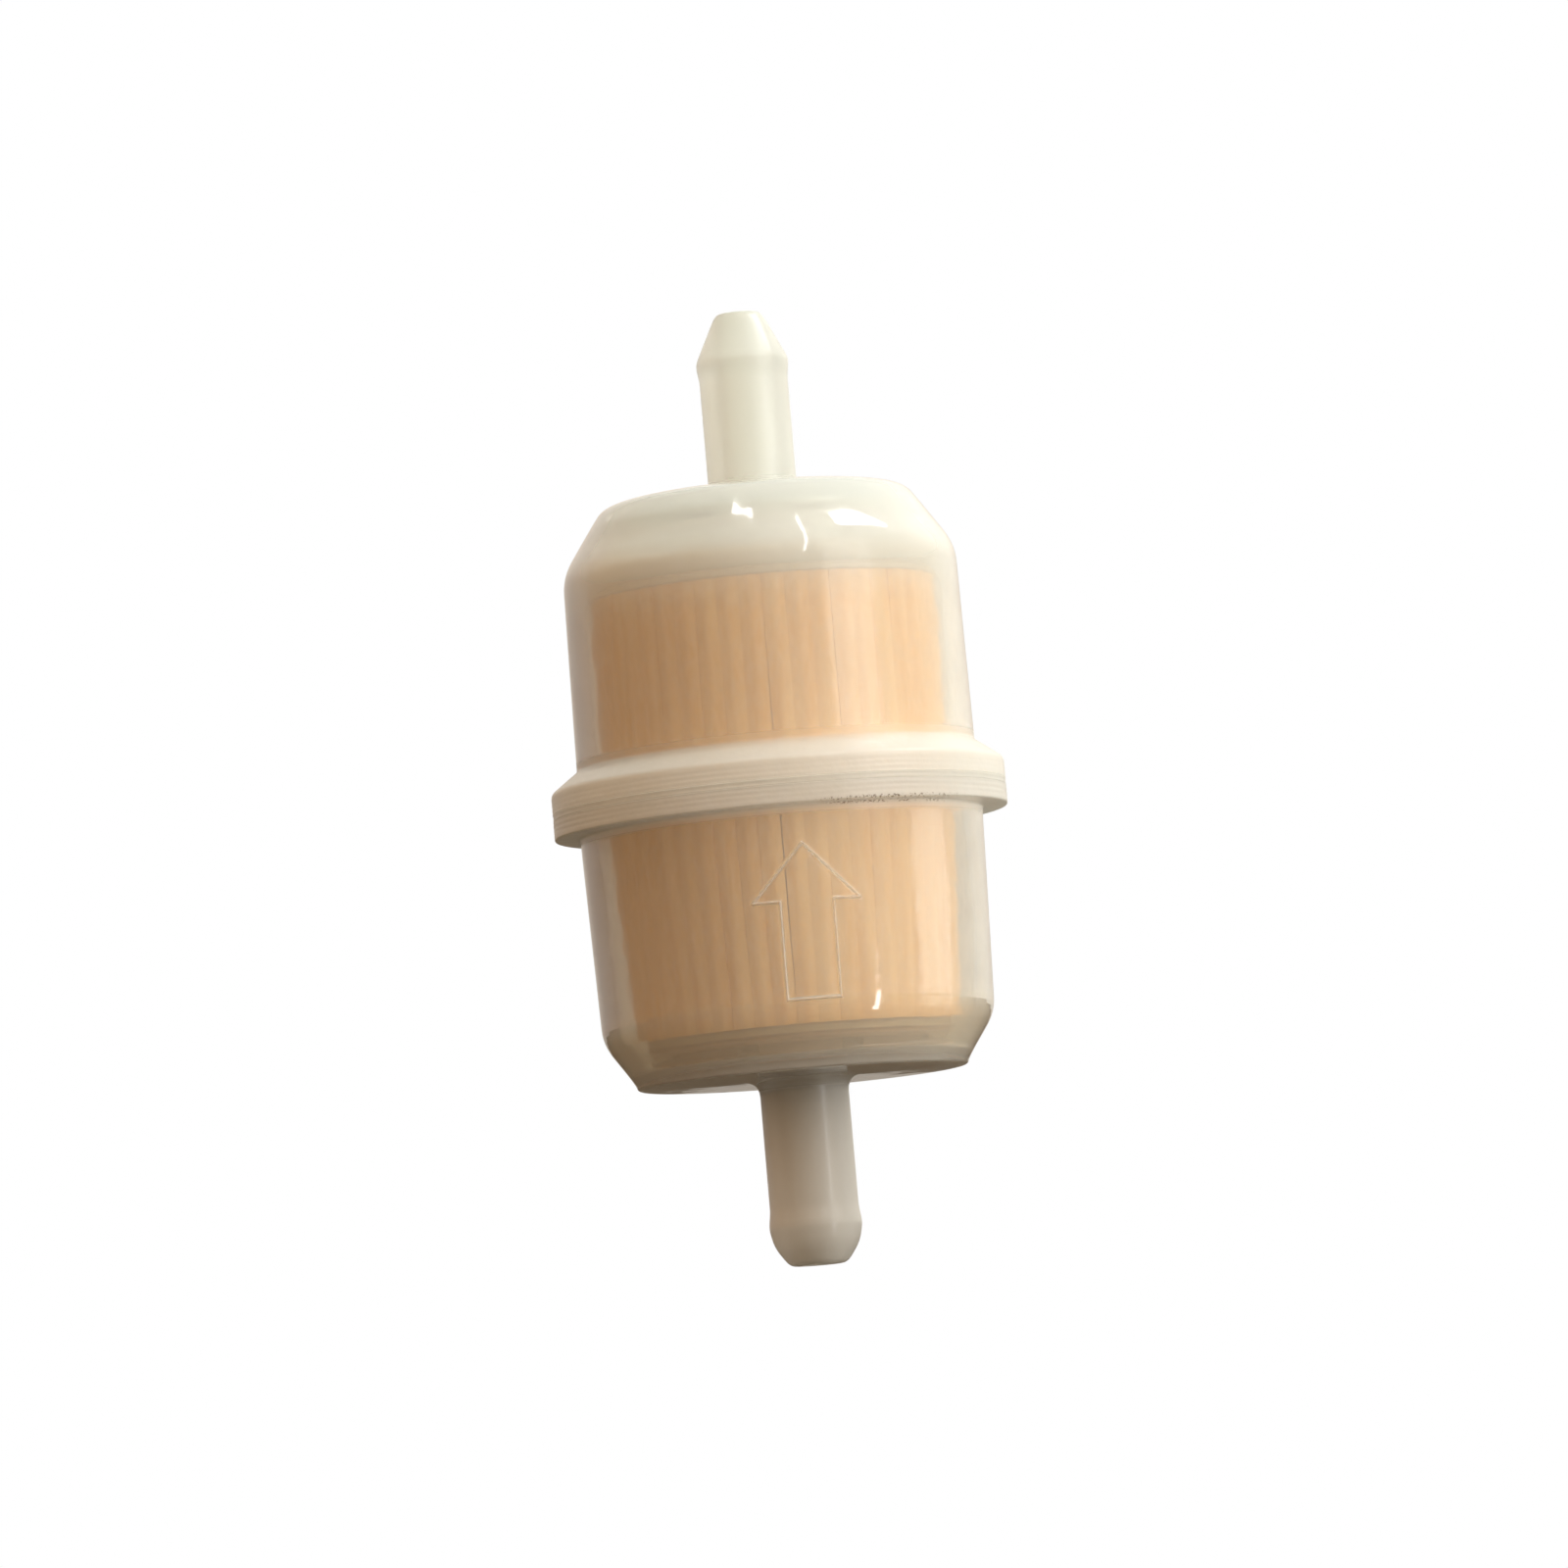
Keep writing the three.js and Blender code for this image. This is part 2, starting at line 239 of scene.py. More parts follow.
def fresh(name):
    """A material, its empty node tree and the place on the object in metres."""
    material = bpy.data.materials.new(name)
    material.use_nodes = True
    tree = material.node_tree
    tree.nodes.clear()
    return material, tree, add(tree, "ShaderNodeTexCoord").outputs["Object"]


def finished(tree, surface):
    add(tree, "ShaderNodeOutputMaterial", {"Surface": surface})


# ------------------------------------------------------------------ materials

NYLON_CLEAR = 0.9  # of the light that enters the surface, the part that goes on into the wall
NYLON_HAZE = 190.0  # scatterings in a metre
NYLON_TINTS = (0.87, 0.86, 0.78, 1), (0.93, 0.92, 0.86, 1)
# all heights here are in millimetres from the weld plane
END_TINTS_AND_SHADE = (  # the heights between which each comes in, and the tint
    # painted light: the nylon warmer and browner towards the foot, for the paper's brown light shining
    # through the wall there
    ((-16.0, -19.0), (0.93, 0.86, 0.70, 1)),
    # painted shade: the inlet stub darker grey, as if in the shadow of the body above it
    ((-20.5, -23.0), (0.66, 0.64, 0.58, 1)),
    ((20.5, 23.5), (0.88, 0.90, 0.84, 1)),
)
# bands of height that something lies in, and how softly each ends
FLANGE_BAND, FLANGE_AND_ROOTS, FLANGE_FADE = (-2.0, 3.1), (-2.5, 4.3), 0.35
GRIME_BAND, ARROW_BAND, SHARP_FADE = (-1.95, -1.55), (-17.5, -4.2), 0.1
# heights at which something starts and is complete
INLET_STUB, OUTLET_STUB = (-21.0, -24.0), (24.5, 26.5)
MILKY_TOP, MILKY_FOOT = (13.5, 20.0), (-16.0, -19.5)
# how much of the light the thick or backless parts turn back at the surface
FLANGE_MILK, TOP_MILK, FOOT_MILK, INLET_STUB_MILK, ARROW_MILK = 0.45, 0.3, 0.17, 0.4, 0.24
GRIME_ACROSS, GRIME_ACROSS_FADE = (3.5, 13.5), 1.5  # to the right of the middle
GRIME_COLOUR = (0.16, 0.11, 0.06, 1)
GLOSSY, SATIN = 0.09, 0.3  # roughness
SATIN_COAT = 0.15


def within(tree, metres, low_high, fade):
    """1 within a band given in millimetres."""
    low, high = low_high
    return between(tree, metres, low * MM, high * MM, fade * MM)


def onwards(tree, metres, start_end, full=1.0):
    """0 up to a start, easing to full at an end, both given in millimetres."""
    start, end = start_end
    return ramp(tree, metres, start * MM, end * MM, 0.0, full)


def inlet_drum_radius(tree, height):
    """The slightly tapered radius of the drum that the arrow stands out from."""
    return ramp_straight(
        tree, height, -INLET_DRUM_END * MM, -INLET_DRUM_TOP * MM,
        INLET_DRUM_END_RADIUS * MM, INLET_DRUM_TOP_RADIUS * MM,
    )


def nylon_colour(tree, where, parts, height, cloud):
    """The moulding's tint, other at the ends, with grime under the flange's lower edge at the front. The
    warmer tint towards the foot is painted light and the darker grey at the inlet stub is painted shade.
    """
    tint = blended(tree, cloud, *NYLON_TINTS)
    for heights, end_tint_and_shade in END_TINTS_AND_SHADE:
        # the end tints hold painted light at the foot and painted shade at the inlet stub, besides the top's
        # own tint
        tint = blended(tree, onwards(tree, height, heights), tint, end_tint_and_shade)
    near_edge = within(tree, height, GRIME_BAND, SHARP_FADE)
    across = within(tree, parts[0], GRIME_ACROSS, GRIME_ACROSS_FADE)
    sector = product(tree, across, maths(tree, "LESS_THAN", parts[1], 0.0))
    grit = ramp(tree, spots(tree, where, 4200.0, 3.0, 0.7), 0.52, 0.60)
    grime = product(tree, product(tree, near_edge, sector), grit)
    return blended(tree, grime, tint, GRIME_COLOUR)


def arrow_line(tree, parts, height):
    """1 on the arrow's raised line, which stands out from the drum."""
    squares = maths(tree, "ADD", maths(tree, "POWER", parts[0], 2.0), maths(tree, "POWER", parts[1], 2.0))
    proud = maths(tree, "SUBTRACT", maths(tree, "SQRT", squares), inlet_drum_radius(tree, height))
    return product(tree, onwards(tree, proud, (0.02, 0.16)), within(tree, height, ARROW_BAND, SHARP_FADE))


def nylon():
    """Milky nylon: clear gloss outside, a slightly rough way in, and haze in the wall's depth."""
    material, tree, where = fresh("nylon_milky")
    parts = add(tree, "ShaderNodeSeparateXYZ", {0: where}).outputs
    height = maths(tree, "SUBTRACT", parts[2], WELD_PLANE)
    cloud = spots(tree, where, 160.0, 3.0)
    colour = nylon_colour(tree, where, parts, height, cloud)
    flange = within(tree, height, FLANGE_BAND, FLANGE_FADE)
    inlet_stub = onwards(tree, height, INLET_STUB)
    outlet_stub = onwards(tree, height, OUTLET_STUB)

    # milky where the moulding is thick or has nothing dark close behind it, and along the arrow's line
    top_end = onwards(tree, height, MILKY_TOP, TOP_MILK)
    foot_end = onwards(tree, height, MILKY_FOOT, FOOT_MILK)
    foot_end = maths(tree, "ADD", foot_end, product(tree, inlet_stub, INLET_STUB_MILK))
    ends = maths(tree, "ADD", top_end, foot_end)
    milky = maths(tree, "MAXIMUM", product(tree, flange, FLANGE_MILK), ends)
    milky = maths(tree, "ADD", milky, product(tree, arrow_line(tree, parts, height), ARROW_MILK))
    clear = maths(tree, "SUBTRACT", NYLON_CLEAR, milky)

    ripple = maths(tree, "ADD", spots(tree, where, 220.0, 2.0), product(tree, cloud, 0.5))
    pressed = product(tree, product(tree, spots(tree, where, 900.0, 3.0), flange), 0.8)
    ripple = maths(tree, "ADD", ripple, pressed)
    bump = add(tree, "ShaderNodeBump", {"Strength": 0.35, "Distance": 0.00015, "Height": ripple}).outputs[0]
    # the flange with its roots and the stubs are less glossy than the drums
    flange_and_roots = within(tree, height, FLANGE_AND_ROOTS, FLANGE_FADE)
    satin = maths(tree, "MAXIMUM", flange_and_roots, maths(tree, "ADD", outlet_stub, inlet_stub))
    shell = add(tree, "ShaderNodeBsdfPrincipled", {
        "Base Color": colour, "Roughness": ramp(tree, satin, 0.0, 1.0, GLOSSY, SATIN), "IOR": 1.53,
        "Transmission Weight": clear, "Normal": bump,
        "Coat Weight": ramp(tree, satin, 0.0, 1.0, 1.0, SATIN_COAT), "Coat Roughness": 0.03,
        "Coat IOR": 1.5, "Coat Normal": bump,
    })
    # lamps shine in through the bent surface, which their rays can't otherwise follow
    open_way = add(tree, "ShaderNodeBsdfTransparent", {"Color": (1, 1, 1, 1)})
    lamp_ray = add(tree, "ShaderNodeLightPath").outputs["Is Shadow Ray"]
    surface = add(tree, "ShaderNodeMixShader", {0: lamp_ray, 1: shell.outputs[0], 2: open_way.outputs[0]})
    haze = add(tree, "ShaderNodeVolumeScatter", {
        "Color": (0.97, 0.965, 0.94, 1), "Density": NYLON_HAZE, "Anisotropy": 0.35,
    })
    add(tree, "ShaderNodeOutputMaterial", {"Surface": surface.outputs[0], "Volume": haze.outputs[0]})
    return material


def plain(name, colour, second, roughness, scale=300.0):
    """A dull moulded or bonded surface with a slight mottle."""
    material, tree, where = fresh(name)
    mottle = spots(tree, where, scale, 4.0)
    bump = add(tree, "ShaderNodeBump", {"Strength": 0.2, "Distance": 0.0001, "Height": mottle})
    surface = add(tree, "ShaderNodeBsdfPrincipled", {
        "Base Color": blended(tree, mottle, (*colour, 1), (*second, 1)),
        "Roughness": roughness, "Normal": bump.outputs[0],
    })
    finished(tree, surface.outputs[0])
    return material


def paper():
    """Resin-treated filter paper: fine upright fibres, and long upright streaks of light and dark."""
    material, tree, where = fresh("filter_paper")
    drawn_out = add(tree, "ShaderNodeMapping", {"Vector": where, "Scale": (1.0, 1.0, 0.3)}).outputs[0]
    fibres = spots(tree, drawn_out, 2600.0, 5.0, 0.65)
    drawn_far = add(tree, "ShaderNodeMapping", {"Vector": where, "Scale": (1.0, 1.0, 0.06)}).outputs[0]
    streaks = ramp(tree, spots(tree, drawn_far, 900.0, 2.0), 0.3, 0.7)
    base = blended(tree, streaks, (0.89, 0.47, 0.10, 1), (0.97, 0.60, 0.21, 1))
    colour = blended(tree, ramp(tree, fibres, 0.35, 0.8, 0.0, 0.6), base, (0.97, 0.68, 0.36, 1))
    bump = add(tree, "ShaderNodeBump", {"Strength": 0.4, "Distance": 0.00006, "Height": fibres})
    surface = add(tree, "ShaderNodeBsdfPrincipled", {
        "Base Color": colour, "Roughness": 0.85, "Normal": bump.outputs[0],
    })
    finished(tree, surface.outputs[0])
    return material


# ------------------------------------------------------------------ nylon mouldings

def stub_corners(end, tip, stem_fillet, nose):
    """A hose stub's outside, from the end face to the tip and in to the bore."""
    barb = tip - nose[0][1]
    return [
        (STEM, end, stem_fillet),
        (STEM, barb - BARB_LAND - BARB_BACK, 0.35),
        (BARB, barb - BARB_LAND, 0.25),
        (BARB, barb, 0.5),
        *((radius, tip - drop, fillet) for radius, drop, fillet in nose[1:]),
        (TIP_RADIUS, tip, 0.12),
        (BORE, tip, 0.1),
    ]


# each nose from the barb's edge to the tip: radius, way down from the tip, fillet
OUTLET_NOSE = ((BARB, 3.8, 0), (2.35, 1.0, 0.9), (1.96, 0.25, 0.35))
INLET_NOSE = ((BARB, 2.9, 0), (3.4, 1.6, 1.2), (2.5, 0.3, 0.5), (2.1, 0.04, 0.2))


def outlet_corners():
    """(radius, height, fillet) round the outlet half: flange, drum, shoulder, stub, bore, socket, inside."""
    inside = OUTLET_END - END_WALL
    return [
        (RIM, WELD_HALF + WELD_GAP, 0.03), (RIM, 1.9, 0.35), (16.0, 3.55, 0.2),
        (15.82, 19.3, 1.3), (14.1, 21.85, 0.4), (13.1, 23.3, 0.5), (12.3, 24.4, 0.9),
        (10.3, OUTLET_END, 1.5),
        *stub_corners(OUTLET_END, OUTLET_TIP, 0.8, OUTLET_NOSE),
        (BORE, inside, 0.2), (SOCKET_INNER, inside, 0.2), (SOCKET_INNER, SOCKET_FOOT, 0.2),
        (SOCKET_OUTER, SOCKET_FOOT, 0.2), (SOCKET_OUTER, inside, 0.3),
        (12.95, inside, 3.0), (12.95, 21.05, 0.8), (14.42, 19.0, 0.8), (14.6, WELD_HALF + WELD_GAP, 0.05),
    ]


def inlet_corners():
    """The same of the inlet half, with heights down from the weld plane."""
    inside = INLET_END - END_WALL
    return [
        (RIM, WELD_HALF + WELD_GAP, 0.03), (RIM, INLET_DRUM_TOP, 0.15),
        (INLET_DRUM_TOP_RADIUS, INLET_DRUM_TOP, 0.25), (INLET_DRUM_END_RADIUS, INLET_DRUM_END, 1.2),
        (13.8, 21.1, 0.6), (13.35, 21.85, 0.3), (13.2, INLET_END, 0.45),
        *stub_corners(INLET_END, INLET_TIP, 1.3, INLET_NOSE),
        (BORE, inside, 0.2), (12.65, inside, 1.5), (12.65, 20.3, 0.5), (14.32, 18.0, 0.8),
        (14.77, WELD_HALF + WELD_GAP, 0.05),
    ]


SKIN = 15.2  # everything past this radius is outer skin
FLANGE_TOP = 3.0  # the ridges reach up to here, and the drum's unevenness starts
RIPPLE = 0.03  # how deep the moulding's slight unevenness goes
SINK_SIZE, SINK_FLATTENING = 0.22, 0.6  # cycles to the millimetre round the wall, and how much fewer up it
RIDGE_DEPTH, RIDGE_PITCH, RIDGE_DRIFT = 0.03, 0.42, 0.25


def unevenness(angle, z, r):
    """The shallow sinks of a moulded wall, as millimetres inwards."""
    where = Vector((r * math.cos(angle), r * math.sin(angle), z * SINK_FLATTENING)) * SINK_SIZE
    return -RIPPLE * (0.5 + 0.5 * noise.noise(where))


def weld_ridges(angle, z):
    """Fine lines round the flange's edge where the weld was pressed, coming and going round it."""
    fade = max(0.0, 1 - abs(z) / RIM_HALF)
    strength = 0.5 + 0.5 * noise.noise(Vector((math.cos(angle) * 2.2, math.sin(angle) * 2.2, z * 0.5)))
    drift = RIDGE_DRIFT * noise.noise(Vector((math.cos(angle) * 1.5, math.sin(angle) * 1.5, 7.0)))
    wave = 0.5 + 0.5 * math.cos(2 * math.pi * (z + drift) / RIDGE_PITCH)
    return -RIDGE_DEPTH * fade ** 0.5 * strength * wave


def outlet_push(angle, z, r):
    if r < SKIN:
        return 0.0
    ridges = weld_ridges(angle, z) if r > RIM_EDGE else 0.0
    return ridges if z < FLANGE_TOP else unevenness(angle, z, r)


ARROW_TIP, ARROW_BASE = 4.8, 17.0  # heights down from the weld plane
HEAD_LENGTH, HEAD_HALF, SHAFT_HALF = 4.5, 4.25, 2.1
ARROW_AZIMUTH = math.radians(5.2 - 90)
ARROW_PROUD = 0.32
ARROW_HALF_LINE = 0.2
ARROW_SECTOR = math.radians(19)  # either side of the arrow's middle
ARROW_GRID = 0.07  # the mesh's spacing there
ARROW_MARGIN = 1  # above and below the arrow

arrow_outline = [
    Vector(p) for p in (
        (0, ARROW_TIP), (HEAD_HALF, ARROW_TIP + HEAD_LENGTH), (SHAFT_HALF, ARROW_TIP + HEAD_LENGTH),
        (SHAFT_HALF, ARROW_BASE), (-SHAFT_HALF, ARROW_BASE), (-SHAFT_HALF, ARROW_TIP + HEAD_LENGTH),
        (-HEAD_HALF, ARROW_TIP + HEAD_LENGTH),
    )
]


def from_arrow(across, down):
    """How far a point of the wall is from the arrow's line."""
    p = Vector((across, down))
    nearest = math.inf
    for a, b in zip(arrow_outline, arrow_outline[1:] + arrow_outline[:1]):
        along = b - a
        t = min(1.0, max(0.0, (p - a).dot(along) / along.length_squared))
        nearest = min(nearest, (p - a - along * t).length)
    return nearest


def inlet_push(angle, z, r):
    if r < SKIN:
        return 0.0
    if r > RIM_EDGE:
        return weld_ridges(angle, z)
    turn = (angle - ARROW_AZIMUTH + math.pi) % (2 * math.pi) - math.pi
    down = -z
    if abs(turn) > ARROW_SECTOR or not ARROW_TIP - ARROW_MARGIN < down < ARROW_BASE + ARROW_MARGIN:
        return unevenness(angle, z, r)
    near = from_arrow(turn * r, down) / ARROW_HALF_LINE
    line = ARROW_PROUD * (1 - near * near) ** 2 if near < 1 else 0.0
    return unevenness(angle, z, r) + line


def arrow_angles():
    """Columns close together where the arrow is, and evenly spread elsewhere."""
    step = ARROW_GRID / round(INLET_DRUM_TOP_RADIUS)
    close = [ARROW_AZIMUTH - ARROW_SECTOR + step * n for n in range(int(2 * ARROW_SECTOR / step))]
    rest = 2 * math.pi - 2 * ARROW_SECTOR
    wide = [ARROW_AZIMUTH + ARROW_SECTOR + rest * n / COLUMNS for n in range(COLUMNS)]
    return close + wide


SKIN_GRID, RIDGE_GRID, BEAD_GRID = 0.5, 0.1, 0.05  # spacings of the mesh up the outside


def outlet_housing(material):
    outline = finely(rounded(outlet_corners()), SKIN_GRID, SKIN)
    vertices, faces = turned(finely(outline, RIDGE_GRID, RIM_EDGE), outlet_push)
    return piece("outlet_housing", vertices, faces, material)


def inlet_housing(material):
    outline = finely([Vector((p.x, -p.y)) for p in rounded(inlet_corners())], ARROW_GRID, SKIN)
    vertices, faces = turned(outline, inlet_push, arrow_angles())
    return piece("inlet_housing", vertices, faces, material)


def weld_bead(material):
    half, inner, flush = WELD_HALF, 14.9, RIM - 0.02
    edge = flush - 0.01
    corners = [(inner, -half, 0), (flush, -half, 0.04), (flush, half, 0.04), (inner, half, 0)]
    outline = finely(rounded(corners), BEAD_GRID, edge)
    vertices, faces = turned(outline, lambda angle, z, r: weld_ridges(angle, z) if r > edge else 0)
    return piece("weld_bead", vertices, faces, material)


# ------------------------------------------------------------------ filter element

PLEATS = 48
PLEAT_ROWS = 24
FOLD_STEPS = 6
FOLD_DEPTH = 0.16
FOLD_WANDER, FOLD_SINK = 0.006, 0.12  # how far an outer fold strays round (radians) and inwards
FOOT_SCALE = 0.935  # the pleats draw in towards the foot, below mid-height
# the paper's outer and inner side: radius and half width of the outer folds, then of the inner folds
PAPER_SIDES = (PAPER_RADIUS, 0.9, 7.4, 0.1), (13.55, 0.64, 6.7, 0.28)


def foot_scale(t):
    """How much of its full width the paper has at a share t of its height."""
    return min(1.0, FOOT_SCALE + (1 - FOOT_SCALE) * 2 * t)


def pleat_loop(outer, outer_half, inner, inner_half, t):
    """One side of the folded paper in plan at a height, with rounded folds that wander a little."""
    pitch = 2 * math.pi / PLEATS
    loop = []
    for n in range(PLEATS):
        wander = FOLD_WANDER * noise.noise(Vector((n * 1.7, 0.0, t * 1.3)))
        sink = FOLD_SINK * (0.5 + 0.5 * noise.noise(Vector((n * 2.3, 5.0, t * 1.1))))
        folds = ((outer - sink, outer_half, (n + 0.5) * pitch + wander, 1),
                 (inner, inner_half, (n + 1) * pitch, -1))
        for radius, half, centre, way in folds:
            for step in range(FOLD_STEPS + 1):
                u = -1 + 2 * step / FOLD_STEPS
                if way > 0:
                    r = radius - FOLD_DEPTH * (1 - math.cos(math.pi * u)) / 2
                else:
                    r = radius + half * (1 - math.sqrt(max(0.0, 1 - u * u)))
                a = centre + u * half / radius
                loop.append((r * math.cos(a), r * math.sin(a)))
    return loop


def pleated_paper(material):
    """Two folded sides, row by row from the foot to the top, closed at both ends."""
    vertices, faces = [], []
    for row in range(PLEAT_ROWS + 1):
        t = row / PLEAT_ROWS
        z = PAPER_FOOT + (PAPER_TOP - PAPER_FOOT) * t
        for side in PAPER_SIDES:
            vertices += [(x * foot_scale(t), y * foot_scale(t), z) for x, y in pleat_loop(*side, t)]
    count = len(vertices) // (2 * (PLEAT_ROWS + 1))
    for n in range(count):
        m = (n + 1) % count
        for base in (row * 2 * count for row in range(PLEAT_ROWS)):
            for side in (base, base + count):
                faces.append((side + n, side + m, side + m + 2 * count, side + n + 2 * count))
        for base in (0, PLEAT_ROWS * 2 * count):
            faces.append((base + n, base + m, base + count + m, base + count + n))
    return piece("pleated_paper", vertices, faces, material, smooth_angle=60)


SEAM_RADIUS, SEAM_HALF_WIDTH, SEAM_HALF_DEPTH = 13.15, 0.3, 0.53
SEAM_ROWS, SEAM_SIDES = 48, 12
SEAM_LUMPS, SEAM_LUMP = 9, 0.15  # along the bead, and how much of its thickness comes and goes


def paper_seam(material):
    """The bead of glue down the closing pleat, a little lumpy."""
    rows, around = SEAM_ROWS, SEAM_SIDES
    vertices = []
    for row in range(rows + 1):
        t = row / rows
        z = PAPER_FOOT + (PAPER_TOP - PAPER_FOOT) * t
        swell = 1 - SEAM_LUMP + SEAM_LUMP * noise.noise(Vector((0, 3.0, t * SEAM_LUMPS)))
        for a in evenly(around):
            x, y = SEAM_HALF_WIDTH * swell * math.cos(a), SEAM_RADIUS + SEAM_HALF_DEPTH * swell * math.sin(a)
            vertices.append((x * foot_scale(t), y * foot_scale(t), z))
    faces = [
        (row * around + n, row * around + (n + 1) % around,
         (row + 1) * around + (n + 1) % around, (row + 1) * around + n)
        for row in range(rows) for n in range(around)
    ]
    faces += [tuple(range(around)), tuple(rows * around + n for n in range(around))]
    return piece("paper_seam", vertices, faces, material)


def small_ring(name, corners, material):
    vertices, faces = turned(rounded(corners), angles=evenly(SMALL_COLUMNS))
    return piece(name, vertices, faces, material)


def seal_ring(material):
    middle, radius = (SEAL_FOOT + SEAL_TOP) / 2, (SEAL_TOP - SEAL_FOOT) / 2
    outline = [
        Vector((SEAL_OUTER - radius + radius * math.cos(a), middle + radius * math.sin(a)))
        for a in evenly(SEAL_SIDES)
    ]
    vertices, faces = turned(outline, angles=evenly(SMALL_COLUMNS))
    return piece("seal_ring", vertices, faces, material)


# ------------------------------------------------------------------ stage, lights and camera

FLOOR, FLOOR_SIZE = -0.11, 6  # its height and its width in metres
FLOOR_PALE = (0.76, 0.78, 0.80, 1), (0.80, 0.82, 0.84, 1)
FLOOR_DIM = (0.12, 0.09, 0.06, 1), (0.14, 0.11, 0.08, 1)


def floor_finish():
    """Pale to the eye, and dim in the light it throws back up."""
    material, tree, where = fresh("floor_pale")
    mottle = spots(tree, where, 3.0, 4.0)
    pale = add(tree, "ShaderNodeBsdfDiffuse", {0: blended(tree, mottle, *FLOOR_PALE)}).outputs[0]
    dim = add(tree, "ShaderNodeBsdfDiffuse", {0: blended(tree, mottle, *FLOOR_DIM)}).outputs[0]
    seen = add(tree, "ShaderNodeLightPath").outputs["Is Camera Ray"]
    finished(tree, add(tree, "ShaderNodeMixShader", {0: seen, 1: dim, 2: pale}).outputs[0])
    return material


def stage_floor():
    bpy.ops.mesh.primitive_plane_add(size=FLOOR_SIZE, location=(0, 0, FLOOR))
    floor = bpy.context.object
    floor.name = "floor"
    floor.data.materials.append(floor_finish())


def area_light(name, azimuth, elevation, distance, size, power, colour=(1, 1, 1), spin=0,
               seen_in_gloss=True, lights_up=True):
    """A rectangular light looking at the filter, spun about its own axis.

    Azimuth 0 is the front and 90 the right. A light that isn't seen in gloss makes no highlight, and one that
    doesn't light up makes only highlights.
    """
    a, e = math.radians(azimuth), math.radians(elevation)
    back = Vector((math.sin(a) * math.cos(e), -math.cos(a) * math.cos(e), math.sin(e)))
    light = bpy.data.lights.new(name, "AREA")
    light.shape = "RECTANGLE"
    light.size, light.size_y = size
    light.energy = power
    light.color = colour
    lamp = bpy.data.objects.new(name, light)
    lamp.location = back * distance
    lamp.rotation_mode = "QUATERNION"
    turn = Quaternion((0, 0, 1), math.radians(spin))
    lamp.rotation_quaternion = back.to_track_quat("Z", "Y") @ turn
    lamp.visible_camera = False
    lamp.visible_glossy = seen_in_gloss
    lamp.visible_diffuse = lamp.visible_transmission = lamp.visible_volume_scatter = lights_up
    bpy.context.collection.objects.link(lamp)


def studio():
    """White to the eye, and a soft room to everything else.

    The room is bright above and to the right, dim and warm to the left, and brighter behind the filter.
    """
    world = bpy.data.worlds.new("studio")
    world.use_nodes = True
    tree = world.node_tree
    tree.nodes.clear()
    where = add(tree, "ShaderNodeTexCoord").outputs["Generated"]
    axes = add(tree, "ShaderNodeSeparateXYZ", {0: where})
    side = ramp(tree, axes.outputs[0], -0.7, 0.9)
    height = ramp(tree, axes.outputs[2], -0.4, 0.9, 0.14, 1.35)
    colour = blended(tree, side, (1.0, 0.47, 0.14, 1), (1.4, 1.28, 1.12, 1))
    behind = ramp(tree, axes.outputs[1], 0.1, 0.9)
    backdrop = blended(tree, side, (0.72, 0.58, 0.5, 1), (2.0, 1.88, 1.62, 1))
    colour = blended(tree, behind, colour, backdrop)
    overhead = ramp(tree, axes.outputs[2], 0.1, 0.9)
    ceiling = blended(tree, side, (0.49, 0.51, 0.46, 1), (0.97, 1.01, 1.0, 1))
    colour = blended(tree, overhead, colour, ceiling)
    room = add(tree, "ShaderNodeBackground", {"Color": colour, "Strength": height})
    white = add(tree, "ShaderNodeBackground", {"Color": (1, 1, 1, 1), "Strength": 1.0})
    seen = add(tree, "ShaderNodeLightPath").outputs["Is Camera Ray"]
    mix = add(tree, "ShaderNodeMixShader", {0: seen, 1: room.outputs[0], 2: white.outputs[0]})
    add(tree, "ShaderNodeOutputWorld", {"Surface": mix.outputs[0]})
    bpy.context.scene.world = world


SENSOR_WIDTH = 36.0
CAMERA_DISTANCE = 0.70
CAMERA_ELEVATION = -5.1  # the camera looks up a little
CAMERA_ROLL = 4.9  # the filter leans to the left in the picture
PICTURE_WIDTH = 125.6  # millimetres across the whole picture at the filter
PICTURE_CENTRE = (0.36, 1.37)  # of the picture, right of and above the weld plane's centre


def camera():
    data = bpy.data.cameras.new("camera")
    data.sensor_width = SENSOR_WIDTH
    data.lens = SENSOR_WIDTH * CAMERA_DISTANCE / (PICTURE_WIDTH * MM)
    data.clip_start, data.clip_end = 0.01, 100
    cam = bpy.data.objects.new("camera", data)
    e, roll = math.radians(CAMERA_ELEVATION), math.radians(CAMERA_ROLL)
    back = Vector((0, -math.cos(e), math.sin(e)))
    upright = Vector((0, math.sin(e), math.cos(e)))
    right = Vector((math.cos(roll), 0, 0)) - upright * math.sin(roll)
    up = Vector((math.sin(roll), 0, 0)) + upright * math.cos(roll)
    place = at(0, 0, 0) + (right * PICTURE_CENTRE[0] + up * PICTURE_CENTRE[1]) * MM + back * CAMERA_DISTANCE
    cam.matrix_world = Matrix((
        (right.x, up.x, back.x, place.x),
        (right.y, up.y, back.y, place.y),
        (right.z, up.z, back.z, place.z),
        (0, 0, 0, 1),
    ))
    bpy.context.collection.objects.link(cam)
    bpy.context.scene.camera = cam


def look():
    """Enough bounces for the clear walls and the haze."""
    scene = bpy.context.scene
    scene.view_settings.view_transform = "Standard"
    cycles = scene.cycles
    cycles.use_denoising = True
    cycles.max_bounces = 16
    cycles.transmission_bounces = 12
    cycles.transparent_max_bounces = 24
    cycles.diffuse_bounces = 8
    cycles.volume_bounces = 8
    cycles.sample_clamp_indirect = 8.0


# ------------------------------------------------------------------ assembly

camera()
look()
studio()
stage_floor()
